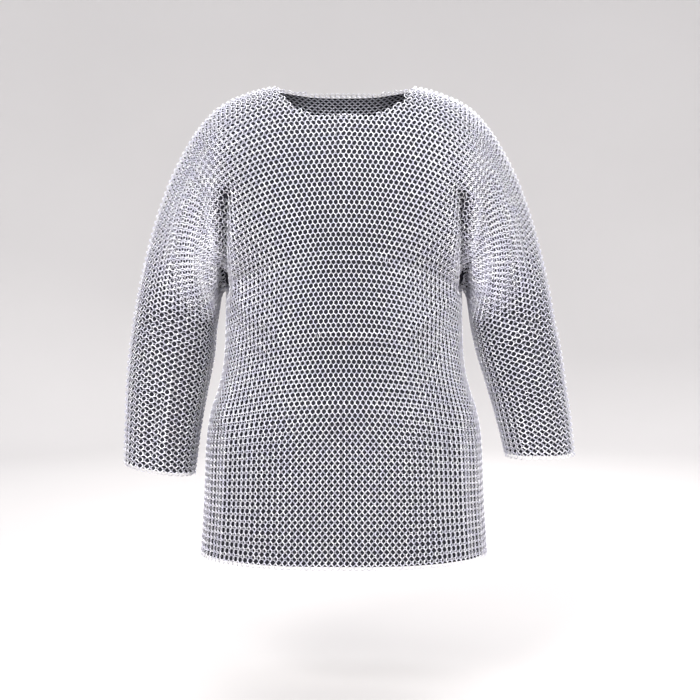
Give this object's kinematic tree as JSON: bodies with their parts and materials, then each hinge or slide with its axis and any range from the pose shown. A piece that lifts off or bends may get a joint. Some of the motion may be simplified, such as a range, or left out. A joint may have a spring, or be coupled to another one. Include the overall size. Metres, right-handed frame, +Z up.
{
  "type": "chainmail hauberk",
  "caption": "Hip-length mail shirt with long sleeves and a wide shallow neckline, in its worn hollow form, woven of small linked steel rings.",
  "frame": {"origin": "where the wearer's shoulders hold the mail, at the middle of the shoulder line between the two neck edges", "axes": "+Z up, the front of the garment faces -Y, +X towards the wearer's left sleeve"},
  "size_m": [0.791, 0.2985, 0.8113],
  "materials": {
    "steel_mail": "bright zinc-plated steel rings with a faint cool cast and near-black gaps"
  },
  "bodies": {
    "root": {"yoke_front": "steel_mail", "yoke_back": "steel_mail", "sleeve_left": "steel_mail", "sleeve_right": "steel_mail", "body_front": "steel_mail", "body_back": "steel_mail", "skirt_front": "steel_mail", "skirt_back": "steel_mail"}
  },
  "joints": []
}
